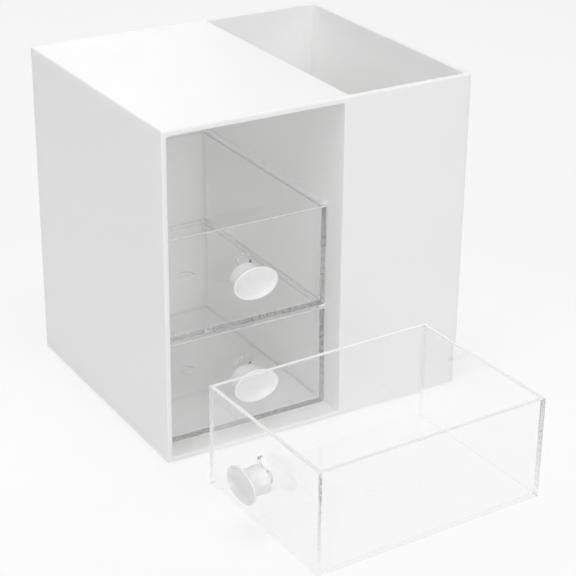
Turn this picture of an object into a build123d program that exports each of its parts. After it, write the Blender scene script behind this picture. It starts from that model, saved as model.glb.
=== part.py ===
import os

from build123d import *

# A makeup organizer: a white case with a stack of clear drawers beside an open compartment.
# The origin is on the table under the middle of the case. +X points right for someone facing
# the drawers, +Y to the back of the case and +Z up. All lengths are in millimetres.

# Clear drawers
drawer_width = 92.0
drawer_depth = 125.0
drawer_height = 52.5
drawer_wall = 2.2
drawer_base = 2.2
drawer_edge_radius = 0.5
drawer_inner_radius = 0.3
drawer_rim_radius = 0.3
gate_mark_radius = 4.6
gate_mark_depth = 0.4

# Oval knobs, measured from the drawer's front wall out to the dished face
knob_length = 11.0
knob_face_half_width = 12.2
knob_face_half_height = 8.4
knob_lip = 0.9
knob_rim_wall = 1.0
knob_dish_depth = 3.0
knob_collar_half_width = 8.3
knob_collar_half_height = 6.5
knob_waist_half_width = 7.8
knob_waist_half_height = 6.1

# Snap stem of a knob: a round with two flats, split crosswise into four barbed prongs
stem_radius = 4.2
stem_half_flat = 3.3
stem_barb = 0.8
stem_barb_land = 0.7
stem_nose = 2.6
stem_tip_radius = 3.4
stem_slot = 1.3
stem_hole_clearance = 0.15
stem_barb_clearance = 0.1

# Keyhole in a drawer's front wall: the stem's hole, with a slot up to a round end
keyhole_rise = 7.7
keyhole_end_radius = 3.8
keyhole_slot_half = 1.6

# Fit of the drawers in the case
drawer_names = ["bottom", "middle", "top"]
side_clearance = 1.1
glide_clearance = 0.2
rim_clearance = 0.5
head_clearance = 1.7
rear_clearance = 5.0
knob_setback = 1.4

# Guide ribs inside the bay, which carry every drawer above the bottom one
rib_height = 1.8
rib_reach = 2.4
rib_root = 1.2
rib_setback = 1.5
rib_radius = 0.4

# White case
case_wall = 2.6
case_floor = 2.6
case_roof = 3.0
partition = 3.4
compartment_width = 67.2
case_edge_radius = 1.5
case_inner_radius = 1.6
case_mouth_radius = 0.5

# Non-slip pads, each seated in a shallow round socket under the case
pad_radius = 5.0
pad_height = 1.5
pad_inset = 13.0
pad_edge_radius = 0.3
socket_depth = 0.5
socket_clearance = 0.15

# Where the top drawer stands on the table, turned a quarter turn to the left
loose_inset = 9.6
loose_standoff = 24.0
loose_turn = -88.0

# Extra length of a cut past the face that it opens
overrun = 2.0

# Sizes that follow from the values above
drawer_recess = knob_length + knob_setback
drawer_pitch = drawer_height + glide_clearance + rim_clearance + rib_height
bay_width = drawer_width + 2 * side_clearance
bay_depth = drawer_recess + drawer_depth + rear_clearance
bay_height = glide_clearance + (len(drawer_names) - 1) * drawer_pitch + drawer_height + head_clearance
case_width = case_wall + bay_width + partition + compartment_width + case_wall
case_depth = bay_depth + case_wall
case_height = case_floor + bay_height + case_roof
case_bottom = pad_height - socket_depth
case_left = -case_width / 2
case_front = -case_depth / 2
bay_left = case_left + case_wall
bay_right = bay_left + bay_width
bay_floor = case_bottom + case_floor
bay_middle = (bay_left + bay_right) / 2
drawer_front = case_front + drawer_recess

# Outline of a knob from wall to lip: distance along it, then how far the section has gone
# from collar to waist and from waist to face
knob_collar_share = 0.22
knob_waist_share = 0.5
knob_flare_share = 0.84
knob_collar_taper_share = 0.4
knob_flare_growth_share = 0.2

# Outline of the dish: depth and the size of the section there
dish_depth_shares = [0.0, 0.48, 0.87, 1.0]
dish_size_shares = [1.0, 0.88, 0.6, 0.28]


def between(first, second, share):
    return first + (second - first) * share


def oval(half_width, half_height, height):
    return Pos(0, 0, height) * Ellipse(half_width, half_height)


def sunk_edges(block, open_face):
    # every edge of a cutting block except those round the face where it opens
    return [edge for edge in block.edges() if edge not in open_face.edges()]


def make_case():
    shell = Pos(0, 0, case_bottom) * Box(
        case_width, case_depth, case_height, align=(Align.CENTER, Align.CENTER, Align.MIN)
    )
    shell = fillet(shell.edges(), case_edge_radius)
    shell -= bay_cut()
    shell -= compartment_cut()
    shell = fillet(shell.faces().sort_by(Axis.Y)[0].inner_wires()[0].edges(), case_mouth_radius)
    shell = fillet(shell.faces().sort_by(Axis.Z)[-1].inner_wires()[0].edges(), case_mouth_radius)
    for level in range(1, len(drawer_names)):
        shell += guide_ribs(bay_floor + level * drawer_pitch)
    for x, y in pad_places().values():
        shell -= Pos(x, y, case_bottom) * Cylinder(
            pad_radius + socket_clearance, socket_depth, align=(Align.CENTER, Align.CENTER, Align.MIN)
        )
    return shell


def bay_cut():
    block = Pos(bay_left, case_front - overrun, bay_floor) * Box(
        bay_width, bay_depth + overrun, bay_height, align=Align.MIN
    )
    return fillet(sunk_edges(block, block.faces().sort_by(Axis.Y)[0]), case_inner_radius)


def compartment_cut():
    block = Pos(bay_right + partition, case_front + case_wall, bay_floor) * Box(
        compartment_width, case_depth - 2 * case_wall, case_height, align=Align.MIN
    )
    return fillet(sunk_edges(block, block.faces().sort_by(Axis.Z)[-1]), case_inner_radius)


def guide_ribs(top):
    # a pair of ribs, rooted in the bay's side walls and running to the back wall
    start = drawer_front + rib_setback
    length = case_front + bay_depth + rib_root - start
    bar = Box(rib_root + rib_reach, length, rib_height, align=(Align.MIN, Align.MIN, Align.MAX))
    bar = fillet(bar.faces().sort_by(Axis.X)[-1].edges(), rib_radius)
    left = Pos(bay_left - rib_root, start, top) * bar
    right = mirror(left, about=Plane.YZ.offset(bay_middle))
    return left + right


def pad_places():
    across = case_width / 2 - pad_inset
    along = case_depth / 2 - pad_inset
    return {
        "front_left": (-across, -along),
        "front_right": (across, -along),
        "rear_left": (-across, along),
        "rear_right": (across, along),
    }


def make_pad():
    pad = Cylinder(pad_radius, pad_height, align=(Align.CENTER, Align.CENTER, Align.MIN))
    return fillet(pad.edges().group_by(Axis.Z)[0], pad_edge_radius)


def make_drawer():
    # local frame: front wall on Y = 0, base on Z = 0, middle of the width on X = 0
    lower = (Align.CENTER, Align.MIN, Align.MIN)
    tray = Box(drawer_width, drawer_depth, drawer_height, align=lower)
    tray = fillet(sunk_edges(tray, tray.faces().sort_by(Axis.Z)[-1]), drawer_edge_radius)
    hollow = Pos(0, drawer_wall, drawer_base) * Box(
        drawer_width - 2 * drawer_wall, drawer_depth - 2 * drawer_wall, drawer_height, align=lower
    )
    tray -= fillet(sunk_edges(hollow, hollow.faces().sort_by(Axis.Z)[-1]), drawer_inner_radius)
    tray = fillet(tray.faces().sort_by(Axis.Z)[-1].edges(), drawer_rim_radius)
    tray -= knob_seat() * keyhole()
    tray -= Pos(0, drawer_depth / 2, 0) * Cylinder(
        gate_mark_radius, gate_mark_depth, align=(Align.CENTER, Align.CENTER, Align.MIN)
    )
    return tray


def knob_seat():
    # turns a knob built along +Z so that it points out of the middle of the drawer's front
    return Pos(0, 0, drawer_height / 2) * Rot(90, 0, 0)


def keyhole():
    # a cut through the front wall: the stem's outline, a slot above it and the slot's round end
    hole_radius = stem_radius + stem_hole_clearance
    outline = Circle(hole_radius) & Rectangle(2 * hole_radius, 2 * (stem_half_flat + stem_hole_clearance))
    outline += Rectangle(2 * keyhole_slot_half, keyhole_rise, align=(Align.CENTER, Align.MIN))
    outline += Pos(0, keyhole_rise) * Circle(keyhole_end_radius)
    return extrude(Pos(0, 0, overrun) * outline, -(drawer_wall + 2 * overrun))


def make_knob():
    lip_start = knob_length - knob_lip
    taper_width = between(knob_collar_half_width, knob_waist_half_width, knob_collar_taper_share)
    taper_height = between(knob_collar_half_height, knob_waist_half_height, knob_collar_taper_share)
    flare_width = between(knob_waist_half_width, knob_face_half_width, knob_flare_growth_share)
    flare_height = between(knob_waist_half_height, knob_face_half_height, knob_flare_growth_share)
    body = loft([
        oval(knob_collar_half_width, knob_collar_half_height, 0),
        oval(taper_width, taper_height, lip_start * knob_collar_share),
        oval(knob_waist_half_width, knob_waist_half_height, lip_start * knob_waist_share),
        oval(flare_width, flare_height, lip_start * knob_flare_share),
    ])
    lip = oval(knob_face_half_width, knob_face_half_height, lip_start)
    body += loft([oval(flare_width, flare_height, lip_start * knob_flare_share), lip], ruled=True)
    body += extrude(lip, knob_lip)
    return body - knob_dish() + snap_stem()


def knob_dish():
    half_width = knob_face_half_width - knob_rim_wall
    half_height = knob_face_half_height - knob_rim_wall
    sections = [
        oval(half_width * size, half_height * size, knob_length - knob_dish_depth * depth)
        for depth, size in zip(dish_depth_shares, dish_size_shares)
    ]
    return loft(sections) + extrude(sections[0], overrun)


def snap_stem():
    shoulder = drawer_wall + stem_barb_clearance
    barb_radius = stem_radius + stem_barb
    length = shoulder + stem_barb_land + stem_nose
    profile = Polyline(
        (0, 0),
        (stem_radius, 0),
        (stem_radius, -shoulder),
        (barb_radius, -shoulder),
        (barb_radius, -shoulder - stem_barb_land),
        (stem_tip_radius, -length),
        (0, -length),
        close=True,
    )
    prongs = revolve(Plane.XZ * make_face(profile), Axis.Z)
    across = Align.CENTER, Align.CENTER, Align.MAX
    prongs &= Box(2 * barb_radius, 2 * stem_half_flat, length, align=across)
    prongs -= Box(stem_slot, 2 * barb_radius, length, align=across)
    prongs -= Box(2 * barb_radius, stem_slot, length, align=across)
    return prongs


def loose_place():
    # the table place of the top drawer, given by the near-left corner of its front wall
    corner = Pos(case_left + loose_inset, case_front - loose_standoff, 0)
    return corner * Rot(0, 0, loose_turn) * Pos(drawer_width / 2, 0, 0)


def drawer_places():
    places = {}
    for level, name in enumerate(drawer_names):
        places[name] = Pos(bay_middle, drawer_front, bay_floor + glide_clearance + level * drawer_pitch)
    places[drawer_names[-1]] = loose_place()
    return places


def main():
    nodes = {"case": make_case()}
    pad = make_pad()
    for corner, (x, y) in pad_places().items():
        nodes["foot_" + corner] = Pos(x, y, 0) * pad
    drawer = make_drawer()
    knob = knob_seat() * make_knob()
    for name, place in drawer_places().items():
        nodes[name + "_drawer"] = place * drawer
        nodes[name + "_knob"] = place * knob
    os.makedirs("parts", exist_ok=True)
    for name, solid in nodes.items():
        export_step(solid, f"parts/{name}.step")


main()
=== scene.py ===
import math

import bmesh
import bpy
from mathutils import Matrix, Vector


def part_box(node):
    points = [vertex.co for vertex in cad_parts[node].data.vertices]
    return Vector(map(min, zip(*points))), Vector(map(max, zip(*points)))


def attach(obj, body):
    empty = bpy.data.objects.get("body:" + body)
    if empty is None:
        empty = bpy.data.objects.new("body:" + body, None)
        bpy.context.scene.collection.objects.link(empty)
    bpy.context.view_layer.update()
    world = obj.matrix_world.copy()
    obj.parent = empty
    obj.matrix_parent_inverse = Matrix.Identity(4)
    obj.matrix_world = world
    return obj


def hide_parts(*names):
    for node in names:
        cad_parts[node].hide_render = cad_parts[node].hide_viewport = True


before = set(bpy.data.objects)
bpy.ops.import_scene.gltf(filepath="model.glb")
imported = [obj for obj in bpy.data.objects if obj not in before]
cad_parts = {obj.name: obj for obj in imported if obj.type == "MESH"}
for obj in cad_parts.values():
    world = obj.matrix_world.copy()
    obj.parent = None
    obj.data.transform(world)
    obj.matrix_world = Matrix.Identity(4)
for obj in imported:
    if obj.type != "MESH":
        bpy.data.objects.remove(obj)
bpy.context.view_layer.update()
scene = bpy.context.scene
levels = ["bottom", "middle", "top"]
print("frame loaded with", len(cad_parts), "nodes")


# small helpers for meshes

meshValues = {
    "sameWithin": 1e-6,  # metres, nearer coordinates count as equal
    "cornerAngle": 40.0,  # degrees, an edge that turns more is a corner
    "smoothAngle": 35.0,  # degrees, an edge that turns less shades smoothly
    "roundProfile": 0.5,
    "flatWeight": 100,  # large flat faces decide the shading of their edges
}


def nearTo(a, b):
    return abs(a - b) < meshValues["sameWithin"]


def spread(first, last, steps):
    return [first + (last - first) * n / steps for n in range(steps + 1)]


def blockFromCells(xLines, yLines, zLines, isSolid):
    # one closed skin round every solid cell of a box grid, with no walls inside
    bm = bmesh.new()
    corners = {}
    counts = (len(xLines) - 1, len(yLines) - 1, len(zLines) - 1)

    def corner(i, j, k):
        if (i, j, k) not in corners:
            corners[i, j, k] = bm.verts.new((xLines[i], yLines[j], zLines[k]))
        return corners[i, j, k]

    def filled(cell):
        inside = all(0 <= c < n for c, n in zip(cell, counts))
        return inside and isSolid(*cell)

    for i in range(counts[0]):
        for j in range(counts[1]):
            for k in range(counts[2]):
                if not filled((i, j, k)):
                    continue
                for axis in range(3):
                    for side in (0, 1):
                        neighbour = [i, j, k]
                        neighbour[axis] += 1 if side else -1
                        if filled(tuple(neighbour)):
                            continue
                        base = [i, j, k]
                        base[axis] += side
                        u, v = (axis + 1) % 3, (axis + 2) % 3
                        ring = []
                        for du, dv in ((0, 0), (1, 0), (1, 1), (0, 1)):
                            spot = list(base)
                            spot[u] += du
                            spot[v] += dv
                            ring.append(corner(*spot))
                        bm.faces.new(ring if side else ring[::-1])
    bm.normal_update()
    return bm


def roundEdges(bm, chosen, radius, segments):
    edges = [e for e in bm.edges if len(e.link_faces) == 2 and chosen(e)]
    bmesh.ops.bevel(
        bm, geom=edges, offset=radius, offset_type="OFFSET", segments=segments,
        profile=meshValues["roundProfile"], affect="EDGES", clamp_overlap=True,
    )


def addCylinder(bm, middle, radius, height, around):
    bmesh.ops.create_cone(
        bm, cap_ends=True, segments=around, radius1=radius, radius2=radius, depth=height,
        matrix=Matrix.Translation(middle),
    )


def sharp(edge):
    return abs(edge.calc_face_angle_signed()) > math.radians(meshValues["cornerAngle"])


def hollow(edge):
    return edge.calc_face_angle_signed() < -math.radians(meshValues["cornerAngle"])


def lyingOn(edge, axis, value):
    return all(nearTo(v.co[axis], value) for v in edge.verts)


def betweenOuterFaces(limits):
    # picks the sharp edges in which two outer faces meet, for outer faces given axis by axis
    def chosen(edge):
        faces = sum(any(lyingOn(edge, axis, value) for value in limits[axis]) for axis in range(3))
        return sharp(edge) and faces >= 2

    return chosen


def newObject(name, mesh):
    obj = bpy.data.objects.new(name, mesh)
    scene.collection.objects.link(obj)
    return obj


def meshFrom(bm, name):
    bmesh.ops.recalc_face_normals(bm, faces=bm.faces)
    mesh = bpy.data.meshes.new(name)
    bm.to_mesh(mesh)
    bm.free()
    return mesh


def plainMesh(obj):
    # the evaluated shape as an ordinary mesh, with the modifiers gone
    bpy.context.view_layer.update()
    shape = obj.evaluated_get(bpy.context.evaluated_depsgraph_get())
    mesh = bpy.data.meshes.new_from_object(shape)
    obj.modifiers.clear()
    obj.data = mesh


def carve(obj, tools, operation):
    for tool in tools:
        modifier = obj.modifiers.new("carve", "BOOLEAN")
        modifier.operation = operation
        modifier.solver = "EXACT"
        modifier.object = tool
    plainMesh(obj)
    for tool in tools:
        bpy.data.objects.remove(tool)


def smoothFinish(obj, angle=meshValues["smoothAngle"]):
    # flat walls stay flat and only the rounded edges shade smoothly
    obj.data.shade_smooth()
    obj.data.set_sharp_from_angle(angle=math.radians(angle))
    modifier = obj.modifiers.new("weighted", "WEIGHTED_NORMAL")
    modifier.keep_sharp = True
    modifier.weight = meshValues["flatWeight"]
    plainMesh(obj)


def settle(obj, body, slot, material, *replaced):
    obj.data.materials.clear()
    obj.data.materials.append(material)
    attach(obj, body)
    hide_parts(*replaced)


# helpers for node trees

def nodeMaker(tree):
    def add(kind, inputs=None, **settings):
        node = tree.nodes.new(kind)
        for key, value in settings.items():
            setattr(node, key, value)
        for key, value in (inputs or {}).items():
            if isinstance(value, bpy.types.NodeSocket):
                tree.links.new(value, node.inputs[key])
            else:
                node.inputs[key].default_value = value
        return node

    return add


def newMaterial(name):
    material = bpy.data.materials.new(name)
    material.use_nodes = True
    material.node_tree.nodes.clear()
    return material, nodeMaker(material.node_tree)


def newTree(name, sockets):
    tree = bpy.data.node_groups.new(name, "GeometryNodeTree")
    for label, kind in sockets:
        tree.interface.new_socket(name=label, in_out="INPUT", socket_type=kind)
    tree.interface.new_socket(name="Geometry", in_out="OUTPUT", socket_type="NodeSocketGeometry")
    add = nodeMaker(tree)
    return tree, add, add("NodeGroupInput").outputs, add("NodeGroupOutput")


def copiesOn(add, points, piece):
    source = add("GeometryNodeObjectInfo", {"Object": piece})
    copies = add("GeometryNodeInstanceOnPoints", {"Points": points, "Instance": source.outputs["Geometry"]})
    return copies.outputs["Instances"]


def closeTree(tree, add, geometry, finish, out):
    # copies become real meshes, because the export drops instances
    real = add("GeometryNodeRealizeInstances", {"Geometry": geometry})
    dressed = add("GeometryNodeSetMaterial", {"Geometry": real.outputs["Geometry"], "Material": finish})
    tree.links.new(dressed.outputs["Geometry"], out.inputs["Geometry"])
    return tree


def runTree(name, tree, values):
    obj = newObject(name, bpy.data.meshes.new(name))
    modifier = obj.modifiers.new(tree.name, "NODES")
    modifier.node_group = tree
    for item in tree.interface.items_tree:
        if item.in_out == "INPUT" and item.name in values:
            modifier[item.identifier] = values[item.name]
    plainMesh(obj)
    return obj


# finishes

whitePlastic = {
    "colour": 0.975,
    "warmth": (0.996, 0.999),
    "mottle": 0.006,
    "mottleScale": 28.0,
    "roughness": (0.30, 0.40),
    "roughnessScale": 90.0,
    "roughnessSpan": (0.3, 0.7),
    "grainScale": 2600.0,
    "grainBump": 0.05,
    "grainDepth": 0.00006,
    "warpScale": 16.0,
    "warpDepth": 0.0004,
    "warpBump": 0.10,
    "glow": 0.7,
    "glowDepth": 0.003,
    "ior": 1.49,
}
knobPlastic = dict(whitePlastic, colour=0.93, mottle=0.002, roughness=(0.20, 0.26), mottleScale=140.0,
                   roughnessScale=320.0, grainBump=0.02, warpBump=0.0, glow=0.4, glowDepth=0.002)
clearPlastic = {
    "ior": 1.50,
    "tint": 0.99,
    "haze": (0.0, 0.05),
    "hazeScale": 55.0,
    "hazeSpan": (0.45, 0.8),
    "flowScale": 22.0,
    "flowBump": 0.5,
    "flowDepth": 0.0003,
    "satinRoughness": 0.35,
    "rimHighlightClear": 0.2,  # share of light that passes the rim; the rest makes the rim a white line, a painted highlight
    "density": 3.0,
    "absorbs": (0.03, 0.0, 0.0, 1.0),
    "shadow": (1.0, 1.0, 1.0, 1.0),
}
padRubber = {
    "colour": (0.72, 0.72, 0.71),
    "roughness": (0.6, 0.8),
    "grainScale": 3000.0,
    "grainBump": 0.2,
    "grainDepth": 0.0001,
}


def mouldedWhite(name, v):
    material, add = newMaterial(name)
    place = add("ShaderNodeTexCoord").outputs["Object"]
    mottle = add("ShaderNodeTexNoise", {"Vector": place, "Scale": v["mottleScale"], "Detail": 3.0})
    low, high = v["colour"] - v["mottle"], v["colour"] + v["mottle"]
    tone = add("ShaderNodeMix", {
        "Factor": mottle.outputs["Fac"],
        "A": (low, low, low * v["warmth"][0], 1.0),
        "B": (high, high, high * v["warmth"][1], 1.0),
    }, data_type="RGBA")
    patches = add("ShaderNodeTexNoise", {"Vector": place, "Scale": v["roughnessScale"], "Detail": 4.0})
    sheen = add("ShaderNodeMapRange", {
        "Value": patches.outputs["Fac"],
        "From Min": v["roughnessSpan"][0], "From Max": v["roughnessSpan"][1],
        "To Min": v["roughness"][0], "To Max": v["roughness"][1],
    })
    warp = add("ShaderNodeTexNoise", {"Vector": place, "Scale": v["warpScale"], "Detail": 1.0})
    warpBump = add("ShaderNodeBump", {
        "Height": warp.outputs["Fac"], "Strength": v["warpBump"], "Distance": v["warpDepth"],
    })
    grain = add("ShaderNodeTexNoise", {"Vector": place, "Scale": v["grainScale"], "Detail": 2.0})
    grainBump = add("ShaderNodeBump", {
        "Height": grain.outputs["Fac"], "Strength": v["grainBump"], "Distance": v["grainDepth"],
        "Normal": warpBump.outputs["Normal"],
    })
    skin = add("ShaderNodeBsdfPrincipled", {
        "Base Color": tone.outputs["Result"],
        "Roughness": sheen.outputs["Result"],
        "Normal": grainBump.outputs["Normal"],
        "IOR": v["ior"],
        "Subsurface Weight": v["glow"],
        "Subsurface Radius": (1.0, 1.0, 1.0),
        "Subsurface Scale": v["glowDepth"],
    })
    add("ShaderNodeOutputMaterial", {"Surface": skin.outputs["BSDF"]})
    return material


def clearMoulding(name, v):
    material, add = newMaterial(name)
    place = add("ShaderNodeTexCoord").outputs["Object"]
    scuffs = add("ShaderNodeTexNoise", {"Vector": place, "Scale": v["hazeScale"], "Detail": 5.0})
    haze = add("ShaderNodeMapRange", {
        "Value": scuffs.outputs["Fac"],
        "From Min": v["hazeSpan"][0], "From Max": v["hazeSpan"][1],
        "To Min": v["haze"][0], "To Max": v["haze"][1],
    })
    flow = add("ShaderNodeTexNoise", {"Vector": place, "Scale": v["flowScale"], "Detail": 1.0})
    ripple = add("ShaderNodeBump", {
        "Height": flow.outputs["Fac"], "Strength": v["flowBump"], "Distance": v["flowDepth"],
    })
    # the two attributes are 1 on the satin faces and on the rim, and 0 elsewhere; the rim lets little light
    # through and shows as a white line, a painted highlight
    satin = add("ShaderNodeAttribute", attribute_name="satin").outputs["Fac"]
    highlightRim = add("ShaderNodeAttribute", attribute_name="highlightRim").outputs["Fac"]
    rough = add("ShaderNodeMapRange", {
        "Value": satin, "To Min": haze.outputs["Result"], "To Max": v["satinRoughness"],
    })
    # the rim keeps only this share clear and shows the rest white, as a painted highlight along it
    clear = add("ShaderNodeMapRange", {"Value": highlightRim, "To Min": 1.0, "To Max": v["rimHighlightClear"]})
    wall = add("ShaderNodeBsdfPrincipled", {
        "Base Color": (v["tint"], v["tint"], v["tint"], 1.0),
        "Roughness": rough.outputs["Result"],
        "Normal": ripple.outputs["Normal"],
        "IOR": v["ior"],
        "Transmission Weight": clear.outputs["Result"],
    })
    through = add("ShaderNodeBsdfTransparent", {"Color": v["shadow"]})
    path = add("ShaderNodeLightPath")
    surface = wall.outputs["BSDF"]
    for ray in ("Is Diffuse Ray", "Is Shadow Ray"):  # light reaches what stands behind the wall
        surface = add("ShaderNodeMixShader", {
            0: path.outputs[ray], 1: surface, 2: through.outputs["BSDF"],
        }).outputs["Shader"]
    body = add("ShaderNodeVolumeAbsorption", {"Color": v["absorbs"], "Density": v["density"]})
    add("ShaderNodeOutputMaterial", {"Surface": surface, "Volume": body.outputs["Volume"]})
    return material


def softRubber(name, v):
    material, add = newMaterial(name)
    place = add("ShaderNodeTexCoord").outputs["Object"]
    grain = add("ShaderNodeTexNoise", {"Vector": place, "Scale": v["grainScale"], "Detail": 3.0})
    dull = add("ShaderNodeMapRange", {
        "Value": grain.outputs["Fac"], "To Min": v["roughness"][0], "To Max": v["roughness"][1],
    })
    bump = add("ShaderNodeBump", {
        "Height": grain.outputs["Fac"], "Strength": v["grainBump"], "Distance": v["grainDepth"],
    })
    skin = add("ShaderNodeBsdfPrincipled", {
        "Base Color": (*v["colour"], 1.0),
        "Roughness": dull.outputs["Result"],
        "Normal": bump.outputs["Normal"],
    })
    add("ShaderNodeOutputMaterial", {"Surface": skin.outputs["BSDF"]})
    return material


whiteFinish = mouldedWhite("whitePlastic", whitePlastic)
knobFinish = mouldedWhite("knobPlastic", knobPlastic)
clearFinish = clearMoulding("clearPlastic", clearPlastic)
padFinish = softRubber("padRubber", padRubber)
print("finishes made")


# the white case: a drawer bay on the left, a tall compartment on the right

caseValues = {
    "wall": 0.0026,
    "floor": 0.0026,
    "roof": 0.003,
    "partition": 0.0034,
    "bayWidth": 0.0942,
    "edgeRadius": 0.0015,
    "innerRadius": 0.0016,
    "mouthRadius": 0.0005,
    "segments": 6,
    "mouthSegments": 3,
    "ribHeight": 0.0018,
    "ribReach": 0.0024,
    "ribRoot": 0.0012,
    "ribSetback": 0.0015,
    "ribRadius": 0.0004,
    "ribSegments": 3,
    "glide": 0.0002,
    "socketClearance": 0.00015,
    "socketDepth": 0.0005,
    "socketAround": 64,
}


def caseLines(v):
    low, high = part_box("case")
    bayLeft = low.x + v["wall"]
    bayRight = bayLeft + v["bayWidth"]
    xLines = [low.x, bayLeft, bayRight, bayRight + v["partition"], high.x - v["wall"], high.x]
    yLines = [low.y, low.y + v["wall"], high.y - v["wall"], high.y]
    zLines = [low.z, low.z + v["floor"], high.z - v["roof"], high.z]
    return xLines, yLines, zLines


def makeCase(v):
    xLines, yLines, zLines = caseLines(v)

    def solid(i, j, k):
        inBay = i == 1 and j < 2 and k == 1
        inCompartment = i == 3 and j == 1 and k > 0
        return not (inBay or inCompartment)

    bm = blockFromCells(xLines, yLines, zLines, solid)
    outer = [(xLines[0], xLines[-1]), (yLines[0], yLines[-1]), (zLines[0], zLines[-1])]

    def mouthEdge(edge):
        return sharp(edge) and (lyingOn(edge, 1, yLines[0]) or lyingOn(edge, 2, zLines[-1]))

    roundEdges(bm, hollow, v["innerRadius"], v["segments"])
    roundEdges(bm, betweenOuterFaces(outer), v["edgeRadius"], v["segments"])
    roundEdges(bm, mouthEdge, v["mouthRadius"], v["mouthSegments"])
    shell = newObject("caseShell", meshFrom(bm, "caseShell"))
    carve(shell, [guideRibs(v)], "UNION")
    carve(shell, [footSockets(v)], "DIFFERENCE")
    smoothFinish(shell)
    settle(shell, "case", "white_plastic", whiteFinish, "case")


def ribTree():
    tree, add, given, out = newTree("guideRibs", [
        ("Bar", "NodeSocketObject"),
        ("Across", "NodeSocketFloat"),
        ("Pitch", "NodeSocketFloat"),
        ("Middle", "NodeSocketVector"),
        ("Finish", "NodeSocketMaterial"),
    ])
    grid = add("GeometryNodeMeshGrid", {
        "Size X": given["Across"], "Size Y": given["Pitch"], "Vertices X": 2, "Vertices Y": 2,
    })
    stand = add("GeometryNodeTransform", {
        "Geometry": grid.outputs["Mesh"],
        "Translation": given["Middle"],
        "Rotation": (math.radians(90), 0.0, 0.0),
    })
    ribs = copiesOn(add, stand.outputs["Geometry"], given["Bar"])
    return closeTree(tree, add, ribs, given["Finish"], out)


def guideRibs(v):
    # two pairs of bars rooted in the bay's side walls, one pair under each upper drawer
    xLines, yLines = caseLines(v)[:2]
    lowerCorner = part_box("middle_drawer")[0]
    start, end = lowerCorner.y + v["ribSetback"], yLines[2] + v["ribRoot"]
    width = v["ribRoot"] + v["ribReach"]
    bm = bmesh.new()
    bmesh.ops.create_cube(bm, size=1.0)
    bmesh.ops.scale(bm, vec=(width, end - start, v["ribHeight"]), verts=bm.verts)
    roundEdges(bm, sharp, v["ribRadius"], v["ribSegments"])
    bar = newObject("ribBar", meshFrom(bm, "ribBar"))
    pitch = lowerCorner.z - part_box("bottom_drawer")[0].z
    top = lowerCorner.z - v["glide"]
    ribs = runTree("ribSet", ribTree(), {
        "Bar": bar,
        "Across": xLines[2] - xLines[1] + 2 * v["ribRoot"] - width,
        "Pitch": pitch,
        "Middle": ((xLines[1] + xLines[2]) / 2, (start + end) / 2, top - v["ribHeight"] / 2 + pitch / 2),
        "Finish": whiteFinish,
    })
    bpy.data.objects.remove(bar)
    return ribs


def footSockets(v):
    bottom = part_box("case")[0].z
    bm = bmesh.new()
    for name in feet:
        low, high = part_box(name)
        middle = ((low.x + high.x) / 2, (low.y + high.y) / 2, bottom)
        radius = (high.x - low.x) / 2 + v["socketClearance"]
        addCylinder(bm, middle, radius, 2 * v["socketDepth"], v["socketAround"])
    return newObject("sockets", meshFrom(bm, "sockets"))


# non-slip pads under the case

padValues = {"edgeRadius": 0.0003, "edgeSegments": 3, "around": 64}
feet = ["foot_front_left", "foot_front_right", "foot_rear_left", "foot_rear_right"]


def padTree():
    tree, add, given, out = newTree("footPads", [
        ("Pad", "NodeSocketObject"),
        ("Across", "NodeSocketFloat"),
        ("Along", "NodeSocketFloat"),
        ("Finish", "NodeSocketMaterial"),
    ])
    grid = add("GeometryNodeMeshGrid", {
        "Size X": given["Across"], "Size Y": given["Along"], "Vertices X": 2, "Vertices Y": 2,
    })
    pads = copiesOn(add, grid.outputs["Mesh"], given["Pad"])
    return closeTree(tree, add, pads, given["Finish"], out)


def makePads(v):
    low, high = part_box(feet[0])
    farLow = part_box(feet[-1])[0]
    height = high.z - low.z
    bm = bmesh.new()
    addCylinder(bm, (0, 0, height / 2), (high.x - low.x) / 2, height, v["around"])
    roundEdges(bm, lambda e: sharp(e) and lyingOn(e, 2, 0.0), v["edgeRadius"], v["edgeSegments"])
    pad = newObject("pad", meshFrom(bm, "pad"))
    pads = runTree("footPads", padTree(), {
        "Pad": pad,
        "Across": farLow.x - low.x,
        "Along": farLow.y - low.y,
        "Finish": padFinish,
    })
    bpy.data.objects.remove(pad)
    smoothFinish(pads)
    settle(pads, "case", "pad_rubber", padFinish, *feet)


# clear drawers, each built at the origin with its front wall on y = 0 and then put in place

drawerValues = {
    "wall": 0.0022,
    "base": 0.0022,
    "edgeRadius": 0.0005,
    "innerRadius": 0.0003,
    "rimRadius": 0.0003,
    "segments": 4,
    "rimSegments": 3,
    "levelFacing": 0.99,  # a face that looks up more than this is level
    "gateRadius": 0.0046,
    "gateDepth": 0.0004,
    "gateAround": 48,
    "lobeRise": 0.0077,
    "lobeRadius": 0.0038,
    "lobeSteps": 32,
    "seatSteps": 16,
    "slotHalf": 0.0016,
    "looseTurn": -88.0,  # degrees, of the top drawer on the table
}


def drawerSize():
    low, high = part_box("middle_drawer")
    return high - low


def drawerPlace(level):
    low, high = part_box(level + "_drawer")
    size = drawerSize()
    turn = drawerValues["looseTurn"] if level == "top" else 0.0
    middle = Vector(((low.x + high.x) / 2, (low.y + high.y) / 2, low.z))
    spin = Matrix.Rotation(math.radians(turn), 4, "Z")
    return Matrix.Translation(middle) @ spin @ Matrix.Translation((0, -size.y / 2, 0))


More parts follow.
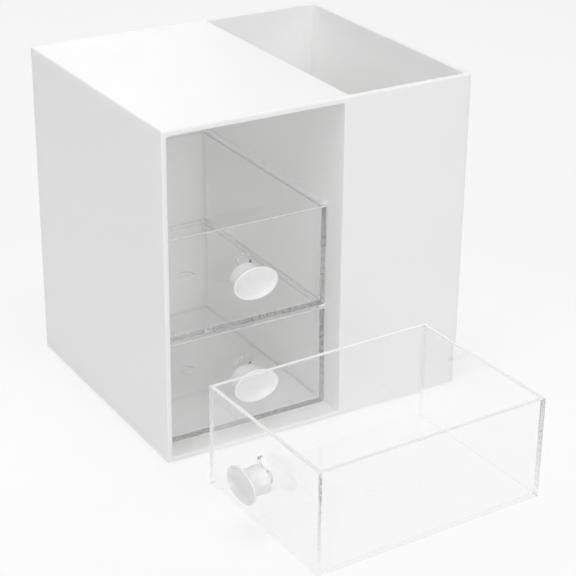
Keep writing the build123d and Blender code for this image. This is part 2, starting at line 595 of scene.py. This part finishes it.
def makeDrawer(level, v, knob):
    size = drawerSize()
    half = size.x / 2
    xLines = [-half, -half + v["wall"], half - v["wall"], half]
    yLines = [0.0, v["wall"], size.y - v["wall"], size.y]
    zLines = [0.0, v["base"], size.z]
    bm = blockFromCells(xLines, yLines, zLines, lambda i, j, k: not (i == 1 and j == 1 and k == 1))
    outer = [(xLines[0], xLines[-1]), (yLines[0], yLines[-1]), (zLines[0],)]
    roundEdges(bm, hollow, v["innerRadius"], v["segments"])
    roundEdges(bm, betweenOuterFaces(outer), v["edgeRadius"], v["segments"])
    roundEdges(bm, lambda e: sharp(e) and lyingOn(e, 2, size.z), v["rimRadius"], v["rimSegments"])
    tray = newObject(level + "ClearDrawer", meshFrom(bm, level + "ClearDrawer"))
    carve(tray, [keyhole(knob, size, v), gateMark(size, v)], "DIFFERENCE")
    smoothFinish(tray)
    markSatinAndHighlightRim(tray.data, size, v)
    tray.data.transform(drawerPlace(level))
    settle(tray, level + "_drawer", "clear_plastic", clearFinish, level + "_drawer")


def markSatinAndHighlightRim(mesh, size, v):
    # satin faces of a tray: its rim, which also carries the painted highlight line, and the rear face's
    # border where light leaves the walls and base
    inner = size.x / 2 - v["wall"]
    highlightRims, satins = [], []
    for face in mesh.polygons:
        x, y, z = face.center
        highlightRim = z > size.z / 2 and face.normal.z > v["levelFacing"]
        border = y > size.y - v["edgeRadius"] and (z < v["base"] or abs(x) > inner)
        highlightRims.append(float(highlightRim))
        satins.append(float(highlightRim or border))
    mesh.attributes.new("highlightRim", "FLOAT", "FACE").data.foreach_set("value", highlightRims)
    mesh.attributes.new("satin", "FLOAT", "FACE").data.foreach_set("value", satins)


def keyhole(knob, size, v):
    # a round with two flats for the stem, and a slot that rises from it to a round end
    radius = knob["stemRadius"] + knob["stemClearance"]
    flat = knob["stemHalfFlat"] + knob["stemClearance"]
    reach = math.asin(flat / radius)
    neck = math.acos(v["slotHalf"] / v["lobeRadius"])
    right = [(radius * math.cos(a), radius * math.sin(a)) for a in spread(-reach, reach, v["seatSteps"])]
    outline = right + [(v["slotHalf"], flat)]
    for a in spread(-neck, math.pi + neck, v["lobeSteps"]):
        outline.append((v["lobeRadius"] * math.cos(a), v["lobeRise"] + v["lobeRadius"] * math.sin(a)))
    outline += [(-v["slotHalf"], flat)] + [(-x, -z) for x, z in right]
    bm = bmesh.new()
    near = [bm.verts.new((x, -v["wall"], size.z / 2 + z)) for x, z in outline]
    far = [bm.verts.new((x, 2 * v["wall"], size.z / 2 + z)) for x, z in outline]
    skinBetween(bm, [near, far])
    bm.faces.new(near)
    bm.faces.new(far)
    return newObject("keyhole", meshFrom(bm, "keyhole"))


def gateMark(size, v):
    bm = bmesh.new()
    addCylinder(bm, (0, size.y / 2, 0), v["gateRadius"], 2 * v["gateDepth"], v["gateAround"])
    return newObject("gateMark", meshFrom(bm, "gateMark"))


def skinBetween(bm, rings):
    for first, second in zip(rings, rings[1:]):
        for n in range(len(first)):
            m = (n + 1) % len(first)
            bm.faces.new((first[n], first[m], second[m], second[n]))


# oval dished knobs on split snap stems

knobValues = {
    "length": 0.011,
    "faceHalf": (0.0122, 0.0084),
    "collarHalf": (0.0083, 0.0065),
    "waistHalf": (0.0078, 0.0061),
    # share of the way to the lip, then growth: -1 is the collar's size, 0 the waist's and 1 the face's
    "flare": [
        (0.22, -0.6), (0.36, -0.22), (0.5, 0.0), (0.64, 0.03),
        (0.76, 0.1), (0.84, 0.21), (0.92, 0.58), (1.0, 1.0),
    ],
    "lip": 0.0009,
    "lipRadius": 0.0004,
    "lipRound": [(0.0, 1.0), (0.08, 0.62), (0.29, 0.29), (0.62, 0.08), (1.0, 0.0)],  # inset, then setback
    "lipFall": 0.2,
    "rimWall": 0.0010,
    "dishDepth": 0.0030,
    "dish": [(0.95, 0.25), (0.88, 0.48), (0.77, 0.70), (0.60, 0.87), (0.36, 0.97), (0.0, 1.0)],  # size, depth
    "around": 80,
    "along": 220,
    "smoothAngle": 50.0,
    "stemRadius": 0.0042,
    "stemHalfFlat": 0.0033,
    "stemClearance": 0.00015,
    "barb": 0.0008,
    "barbLand": 0.0007,
    "barbGap": 0.0001,
    "nose": 0.0026,
    "tipRadius": 0.0034,
    "slot": 0.0013,
    "stemOverlap": 0.0005,
    "prongSteps": 8,
}


def knobSections(v):
    # half width, half height and distance from the wall, from the collar out to the dish's middle
    faceW, faceH = v["faceHalf"]
    collarW, collarH = v["collarHalf"]
    waistW, waistH = v["waistHalf"]
    lipStart = v["length"] - v["lip"]
    dishW, dishH = faceW - v["rimWall"], faceH - v["rimWall"]
    sections = [(0.0, 0.0, 0.0), (collarW, collarH, 0.0)]
    for along, grown in v["flare"]:
        if grown < 0:
            wide = waistW - (collarW - waistW) * grown
            high = waistH - (collarH - waistH) * grown
        else:
            wide = waistW + (faceW - waistW) * grown
            high = waistH + (faceH - waistH) * grown
        sections.append((wide, high, lipStart * along))
    soft = v["lipRadius"]
    for inset, back in v["lipRound"]:
        sections.append((faceW - soft * inset, faceH - soft * inset, v["length"] - soft * back))
    sections.append((dishW, dishH, v["length"] - soft * v["lipFall"]))
    for size, depth in v["dish"]:
        sections.append((dishW * size, dishH * size, v["length"] - v["dishDepth"] * depth))
    return sections


def knobTree():
    # sweeps a grid round an oval whose size at each step is read from the profile curve
    tree, add, given, out = newTree("ovalKnob", [
        ("Profile", "NodeSocketObject"),
        ("Around", "NodeSocketInt"),
        ("Along", "NodeSocketInt"),
        ("Finish", "NodeSocketMaterial"),
    ])
    grid = add("GeometryNodeMeshGrid", {
        "Size X": 1.0, "Size Y": 1.0, "Vertices X": given["Around"], "Vertices Y": given["Along"],
    })
    spot = add("ShaderNodeSeparateXYZ", {0: add("GeometryNodeInputPosition").outputs["Position"]})
    share = add("ShaderNodeMath", {0: spot.outputs["Y"], 1: 0.5}, operation="ADD")  # the grid starts at -0.5
    angle = add("ShaderNodeMath", {0: spot.outputs["X"], 1: 2 * math.pi}, operation="MULTIPLY")
    profile = add("GeometryNodeObjectInfo", {"Object": given["Profile"]})
    section = add("GeometryNodeSampleCurve", {
        "Curves": profile.outputs["Geometry"], "Factor": share.outputs[0],
    }, mode="FACTOR", use_all_curves=True)
    half = add("ShaderNodeSeparateXYZ", {0: section.outputs["Position"]})
    cosine = add("ShaderNodeMath", {0: angle.outputs[0]}, operation="COSINE")
    sine = add("ShaderNodeMath", {0: angle.outputs[0]}, operation="SINE")
    x = add("ShaderNodeMath", {0: half.outputs["X"], 1: cosine.outputs[0]}, operation="MULTIPLY")
    y = add("ShaderNodeMath", {0: half.outputs["Y"], 1: sine.outputs[0]}, operation="MULTIPLY")
    place = add("ShaderNodeCombineXYZ", {"X": x.outputs[0], "Y": y.outputs[0], "Z": half.outputs["Z"]})
    swept = add("GeometryNodeSetPosition", {
        "Geometry": grid.outputs["Mesh"], "Position": place.outputs["Vector"],
    })
    closed = add("GeometryNodeMergeByDistance", {
        "Geometry": swept.outputs["Geometry"], "Distance": meshValues["sameWithin"],
    })
    return closeTree(tree, add, closed.outputs["Geometry"], given["Finish"], out)


def profileCurve(v):
    sections = knobSections(v)
    curve = bpy.data.curves.new("knobProfile", "CURVE")
    curve.dimensions = "3D"
    line = curve.splines.new("POLY")
    line.points.add(len(sections) - 1)
    for point, section in zip(line.points, sections):
        point.co = (*section, 1.0)
    return newObject("knobProfile", curve)


def snapStem(v):
    # four prongs, each a quarter of a barbed plug with flats above and below
    shoulder = drawerValues["wall"] + v["barbGap"]
    barbRadius = v["stemRadius"] + v["barb"]
    steps = [
        (v["stemRadius"], v["stemOverlap"]),
        (v["stemRadius"], -shoulder),
        (barbRadius, -shoulder),
        (barbRadius, -shoulder - v["barbLand"]),
        (v["tipRadius"], -shoulder - v["barbLand"] - v["nose"]),
    ]
    gap, flat = v["slot"] / 2, v["stemHalfFlat"]
    bm = bmesh.new()
    for sideX in (-1, 1):
        for sideY in (-1, 1):
            rings = []
            for radius, depth in steps:
                first, last = math.asin(gap / radius), math.asin(min(flat / radius, 1.0))
                outline = [(gap, gap)]
                for a in spread(first, last, v["prongSteps"]):
                    outline.append((radius * math.cos(a), radius * math.sin(a)))
                outline += [(gap, radius * math.sin(last))]
                rings.append([bm.verts.new((sideX * x, sideY * y, depth)) for x, y in outline])
            skinBetween(bm, rings)
            bm.faces.new(rings[0])
            bm.faces.new(rings[-1])
    return newObject("snapStem", meshFrom(bm, "snapStem"))


def makeKnob(level, v):
    profile = profileCurve(v)
    knob = runTree(level + "OvalKnob", knobTree(), {
        "Profile": profile, "Around": v["around"] + 1, "Along": v["along"], "Finish": knobFinish,
    })
    stem = snapStem(v)
    bm = bmesh.new()
    bm.from_mesh(knob.data)
    bm.from_mesh(stem.data)
    bmesh.ops.recalc_face_normals(bm, faces=bm.faces)
    bm.to_mesh(knob.data)
    bm.free()
    bpy.data.objects.remove(profile)
    bpy.data.objects.remove(stem)
    smoothFinish(knob, v["smoothAngle"])
    seat = Matrix.Translation((0, 0, drawerSize().z / 2)) @ Matrix.Rotation(math.radians(90), 4, "X")
    knob.data.transform(drawerPlace(level) @ seat)
    settle(knob, level + "_drawer", "knob_plastic", knobFinish, level + "_knob")


makeCase(caseValues)
makePads(padValues)
print("case and pads made")
for level in levels:
    makeDrawer(level, drawerValues, knobValues)
    makeKnob(level, knobValues)
print("drawers and knobs made")


# pale studio with a floor that stays white behind the object and keeps its shadow

studio = {
    "ambient": 0.295,
    "floorColour": 0.96,
    "floorShade": 0.27,  # colour that takes the shadow where the floor is seen directly
    "floorGlow": 0.73,  # light added there, so that the floor stays pale
    "floorSize": 24.0,
}
softboxes = {
    "overhead": {"power": 8.3, "place": (0.0, -0.15, 1.5), "size": 1.0},
    "frontFill": {"power": 7.3, "place": (0.05, -1.65, 0.78), "size": 0.7},
    "sideFill": {"power": 6.8, "place": (-1.6, -0.45, 1.0), "size": 1.0},
    "rearFill": {"power": 3.6, "place": (0.3, 1.7, 0.9), "size": 1.2},
}
pureWhite = (1.0, 1.0, 1.0, 1.0)


def seenDirectly(add):
    # 1 for rays that show the background: straight from the camera, in gloss or through clear walls
    path = add("ShaderNodeLightPath")
    straight = add("ShaderNodeMath", {
        0: path.outputs["Is Camera Ray"], 1: path.outputs["Is Glossy Ray"],
    }, operation="MAXIMUM")
    return add("ShaderNodeMath", {
        0: straight.outputs[0], 1: path.outputs["Is Transmission Ray"],
    }, operation="MAXIMUM").outputs[0]


def makeWorld(v):
    world = bpy.data.worlds.new("paleStudio")
    world.use_nodes = True
    world.node_tree.nodes.clear()
    add = nodeMaker(world.node_tree)
    fill = add("ShaderNodeBackground", {"Color": pureWhite, "Strength": v["ambient"]})
    white = add("ShaderNodeBackground", {"Color": pureWhite, "Strength": 1.0})
    both = add("ShaderNodeMixShader", {
        0: seenDirectly(add), 1: fill.outputs["Background"], 2: white.outputs["Background"],
    })
    add("ShaderNodeOutputWorld", {"Surface": both.outputs["Shader"]})
    scene.world = world


def makeFloor(v):
    bm = bmesh.new()
    bmesh.ops.create_grid(bm, x_segments=1, y_segments=1, size=v["floorSize"] / 2)
    floor = newObject("floor", meshFrom(bm, "floor"))
    material, add = newMaterial("paleFloor")
    shade, soft = v["floorColour"], v["floorShade"]
    paint = add("ShaderNodeBsdfDiffuse", {"Color": (shade, shade, shade, 1)})
    shadow = add("ShaderNodeBsdfDiffuse", {"Color": (soft, soft, soft, 1)})
    glow = add("ShaderNodeEmission", {"Color": pureWhite, "Strength": v["floorGlow"]})
    white = add("ShaderNodeAddShader", {0: shadow.outputs["BSDF"], 1: glow.outputs["Emission"]})
    both = add("ShaderNodeMixShader", {
        0: seenDirectly(add), 1: paint.outputs["BSDF"], 2: white.outputs["Shader"],
    })
    add("ShaderNodeOutputMaterial", {"Surface": both.outputs["Shader"]})
    floor.data.materials.append(material)


def makeSoftbox(name, v, target):
    lamp = bpy.data.lights.new(name, "AREA")
    lamp.shape = "SQUARE"
    lamp.size = v["size"]
    lamp.energy = v["power"]
    obj = newObject(name, lamp)
    obj.location = v["place"]
    aim = target - Vector(v["place"])
    obj.rotation_euler = aim.to_track_quat("-Z", "Y").to_euler()


cameraValues = {
    "place": (-0.4071, -0.7136, 0.4303),
    "azimuth": -31.22,
    "elevation": 25.08,
    "roll": 0.64,
    "lens": 107.35,
    "sensor": 36.0,
}


def makeCamera(v):
    az, el, roll = (math.radians(v[k]) for k in ("azimuth", "elevation", "roll"))
    back = Vector((math.sin(az) * math.cos(el), -math.cos(az) * math.cos(el), math.sin(el)))
    right = Vector((0, 0, 1)).cross(back).normalized()
    up = back.cross(right)
    rolledRight = right * math.cos(roll) + up * math.sin(roll)
    rolledUp = up * math.cos(roll) - right * math.sin(roll)
    camera = bpy.data.cameras.new("camera")
    camera.lens = v["lens"]
    camera.sensor_width = v["sensor"]
    obj = newObject("camera", camera)
    turn = Matrix((rolledRight, rolledUp, back)).transposed().to_4x4()
    obj.matrix_world = Matrix.Translation(v["place"]) @ turn
    scene.camera = obj


makeWorld(studio)
makeFloor(studio)
caseLow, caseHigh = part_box("case")
for name, values in softboxes.items():
    makeSoftbox(name, values, (caseLow + caseHigh) / 2)
makeCamera(cameraValues)
scene.view_settings.view_transform = "Standard"
scene.cycles.max_bounces = 64  # light runs a long way inside clear walls and white corners
scene.cycles.diffuse_bounces = 16
scene.cycles.glossy_bounces = 48
scene.cycles.transmission_bounces = 24
scene.cycles.transparent_max_bounces = 128
print("studio ready")
